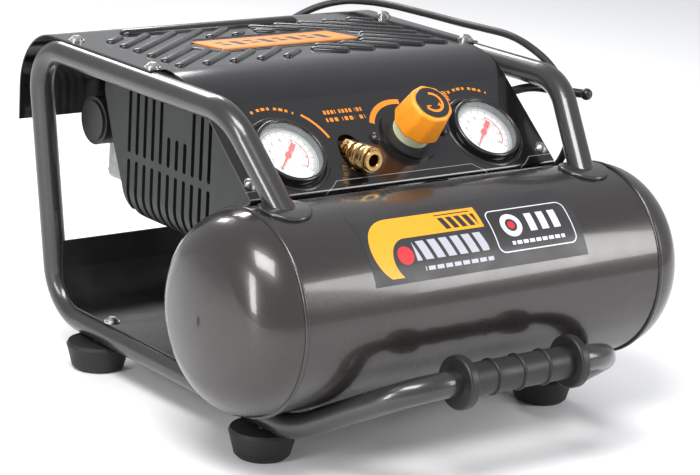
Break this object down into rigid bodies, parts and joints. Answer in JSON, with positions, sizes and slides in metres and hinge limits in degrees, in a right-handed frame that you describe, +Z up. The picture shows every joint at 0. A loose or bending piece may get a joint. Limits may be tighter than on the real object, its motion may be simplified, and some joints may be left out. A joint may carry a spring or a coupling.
{
  "type": "air compressor",
  "caption": "Portable oil-free air compressor: horizontal tank in a tubular roll cage, sloped panel with gauges, regulator and outlet, carrying handle.",
  "frame": {"origin": "middle of the footprint of the machine on the floor, without its mains lead", "axes": "+X along the tank towards the right, +Y from the carrying handle to the rear, +Z up"},
  "size_m": [0.474, 0.6425, 0.3139],
  "materials": {
    "frame_paint": "dark gunmetal metallic paint, glossy",
    "tank_paint": "dark bronze grey metallic paint, glossy",
    "black_paint": "satin black paint",
    "rubber": "matt black rubber",
    "cord_pvc": "black flexible plastic sheath",
    "zinc": "zinc plated",
    "steel": "machined steel",
    "orange_paint": "orange enamel",
    "orange_plastic": "orange moulded plastic",
    "pale_plastic": "pale green plastic",
    "black_plastic": "black moulded plastic",
    "matt_plastic": "textured dark plastic",
    "red_plastic": "red plastic",
    "dial_white": "printed white dial",
    "needle_red": "red painted strip",
    "lens": "clear window",
    "brass": "machined brass",
    "cast_alloy": "cast aluminium",
    "motor_paint": "dark painted casting",
    "copper": "copper tube"
  },
  "bodies": {
    "frame": {"tank_shell": "tank_paint", "tank_head_left": "tank_paint", "tank_head_right": "tank_paint", "tank_ports": "tank_paint", "roll_bar_left": "frame_paint", "roll_bar_right": "frame_paint", "front_handle": "frame_paint", "handle_grip": "rubber", "bar_foot_plates": "frame_paint", "handle_brackets": "frame_paint", "rubber_feet": "rubber", "foot_bolts": "zinc", "base_tray": "black_paint", "tray_bolts": "zinc", "top_cover": "black_paint", "cover_bolts": "zinc", "badge_plate": "orange_paint", "cord_hook": "black_paint", "gauge_case_left": "black_plastic", "gauge_dial_left": "dial_white", "gauge_lens_left": "lens", "gauge_case_right": "black_plastic", "gauge_dial_right": "dial_white", "gauge_lens_right": "lens", "regulator_body": "black_plastic", "regulator_lock_ring": "pale_plastic", "air_manifold": "brass", "coupler_body": "brass", "panel_screws": "zinc", "fan_shroud": "matt_plastic", "motor_housing": "motor_paint", "motor_stator": "steel", "motor_bearings": "steel", "crankcase": "cast_alloy", "piston_rod": "cast_alloy", "pump_cylinder": "cast_alloy", "valve_plate": "steel", "cylinder_head": "cast_alloy", "head_bolts": "zinc", "intake_filter": "black_plastic", "vibration_mounts": "rubber", "pressure_switch": "black_plastic", "safety_valve": "brass", "discharge_pipe": "copper", "drain_tap": "brass", "strain_relief": "rubber", "mains_lead": "cord_pvc", "lead_coil": "cord_pvc", "mains_plug": "rubber"},
    "left_needle": {"gauge_needle_left": "needle_red"},
    "right_needle": {"gauge_needle_right": "needle_red"},
    "regulator": {"regulator_knob": "orange_plastic", "knob_cap": "black_plastic"},
    "sleeve": {"coupler_sleeve": "brass"},
    "crankshaft": {"motor_rotor": "steel", "cooling_fan": "matt_plastic", "crank_disc": "steel"},
    "switch": {"switch_knob": "red_plastic"},
    "relief_ring": {"safety_ring": "zinc"},
    "drain": {"drain_screw": "brass"}
  },
  "joints": [
    {"name": "tank_gauge_needle", "type": "hinge", "parent": "frame", "child": "left_needle", "pos_m": [-0.1065, -0.05755, 0.24278], "axis": [0, 0.6428, -0.766], "range_deg": [0, 270], "stiffness_Nm_per_rad": 0.0004, "springref_deg": -34.38},
    {"name": "outlet_gauge_needle", "type": "hinge", "parent": "frame", "child": "right_needle", "pos_m": [0.1065, -0.05755, 0.24278], "axis": [0, 0.6428, -0.766], "range_deg": [0, 270], "stiffness_Nm_per_rad": 0.0004, "springref_deg": -34.38},
    {"name": "regulator_turn", "type": "hinge", "parent": "frame", "child": "regulator", "pos_m": [0.0255, -0.06581, 0.26195], "axis": [0, -0.6428, 0.766], "range_deg": [-360, 360]},
    {"name": "sleeve_slide", "type": "slide", "parent": "frame", "child": "sleeve", "axis": [0, 1, 0], "range_m": [0, 0.004], "stiffness_N_per_m": 1500, "springref_m": -0.003},
    {"name": "crankshaft_spin", "type": "hinge", "parent": "frame", "child": "crankshaft", "pos_m": [0, 0.06137, 0.1986], "axis": [1, 0, 0], "continuous": true},
    {"name": "switch_turn", "type": "hinge", "parent": "frame", "child": "switch", "pos_m": [0.125, 0.02422, 0.2205], "axis": [1, 0, 0], "range_deg": [0, 90]},
    {"name": "relief_pull", "type": "slide", "parent": "frame", "child": "relief_ring", "axis": [0, 0, 1], "range_m": [0, 0.003], "stiffness_N_per_m": 1500, "springref_m": -0.002},
    {"name": "drain_turn", "type": "hinge", "parent": "frame", "child": "drain", "pos_m": [0, -0.08363, 0.04], "axis": [0, 0, 1], "range_deg": [0, 360]}
  ]
}
